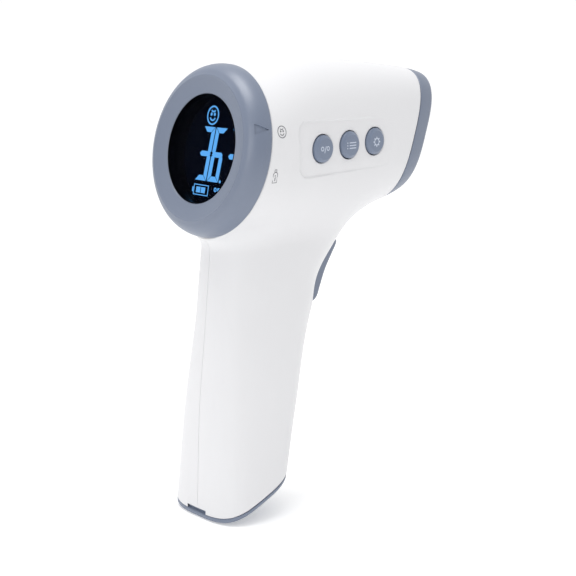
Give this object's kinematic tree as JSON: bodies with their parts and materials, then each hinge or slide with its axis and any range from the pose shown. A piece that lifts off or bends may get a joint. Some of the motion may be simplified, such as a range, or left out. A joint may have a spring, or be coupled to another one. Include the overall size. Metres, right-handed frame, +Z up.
{
  "type": "infrared thermometer",
  "caption": "Pistol-shaped non-contact thermometer: round rotating display ring, side buttons, finger trigger, nose sensor and hinged battery lid in the handle.",
  "frame": {"origin": "middle of the battery lid's outer face, at the bottom of the handle", "axes": "+Z up along the handle with the barrel level, +Y the way the sensor looks, +X the user's right, where the buttons are"},
  "size_m": [0.057, 0.0986, 0.1523],
  "materials": {
    "white_housing": "fine satin moulded ABS",
    "slate_trim": "grey-blue satin moulded plastic",
    "slate_button": "grey-blue satin plastic with pale printed symbols",
    "clear_window": "clear acrylic, glossy",
    "black_cup": "black plastic",
    "lcd": "black liquid-crystal panel with light blue segments",
    "pale_plastic": "natural moulded plastic",
    "rubber_strip": "silicone contact strip",
    "circuit_board": "green solder mask",
    "black_parts": "black moulded electronic parts",
    "sensor_black": "black plastic funnel and holder",
    "sensor_glass": "coated infrared filter",
    "gold_can": "plated sensor can",
    "cell_sleeve": "printed battery sleeve without lettering",
    "steel": "plated steel",
    "black_lead": "PVC insulation",
    "red_lead": "PVC insulation"
  },
  "bodies": {
    "body": {"right_housing": "white_housing", "left_housing": "white_housing", "nose_cap": "slate_trim", "display_window": "clear_window", "display_cup": "black_cup", "lcd_panel": "lcd", "backlight": "pale_plastic", "upper_contact_strip": "rubber_strip", "lower_contact_strip": "rubber_strip", "main_board": "circuit_board", "button_board": "circuit_board", "sensor_board": "circuit_board", "trigger_board": "circuit_board", "mode_switch": "black_parts", "buzzer": "black_parts", "processor": "black_parts", "switch_unit": "black_parts", "switch_memory": "black_parts", "switch_set": "black_parts", "trigger_switch": "black_parts", "sensor_cone": "sensor_black", "sensor_holder": "sensor_black", "sensor_window": "sensor_glass", "sensor_can": "gold_can", "sensor_ribbon": "pale_plastic", "bulkhead": "pale_plastic", "battery_left": "cell_sleeve", "battery_right": "cell_sleeve", "contact_left": "steel", "contact_right": "steel", "lid_pin": "steel", "trigger_pin": "steel", "housing_screw_1": "steel", "housing_screw_2": "steel", "housing_screw_3": "steel", "housing_screw_4": "steel", "lead_negative": "black_lead", "lead_positive": "red_lead"},
    "ring": {"mode_ring": "slate_trim"},
    "unit_key": {"button_unit": "slate_button"},
    "memory_key": {"button_memory": "slate_button"},
    "set_key": {"button_set": "slate_button"},
    "lever": {"trigger": "slate_trim"},
    "lid": {"battery_lid": "slate_trim", "lid_contact": "steel"}
  },
  "joints": [
    {"name": "mode_turn", "type": "hinge", "parent": "body", "child": "ring", "pos_m": [0, -0.01225, 0.1175], "axis": [0, 0.9816, -0.1908], "range_deg": [0, 29]},
    {"name": "unit_press", "type": "slide", "parent": "body", "child": "unit_key", "axis": [-0.9923, -0.1236, 0], "range_m": [0, 0.0008], "stiffness_N_per_m": 1200},
    {"name": "memory_press", "type": "slide", "parent": "body", "child": "memory_key", "axis": [-0.9923, -0.1236, 0], "range_m": [0, 0.0008], "stiffness_N_per_m": 1200},
    {"name": "set_press", "type": "slide", "parent": "body", "child": "set_key", "axis": [-0.9923, -0.1236, 0], "range_m": [0, 0.0008], "stiffness_N_per_m": 1200},
    {"name": "trigger_pull", "type": "hinge", "parent": "body", "child": "lever", "pos_m": [0, 0.0354, 0.0856], "axis": [-1, 0, 0], "range_deg": [0, 6], "stiffness_Nm_per_rad": 0.3},
    {"name": "lid_swing", "type": "hinge", "parent": "body", "child": "lid", "pos_m": [0, 0.0138, 0.00713], "axis": [1, 0, 0], "range_deg": [0, 100]}
  ]
}
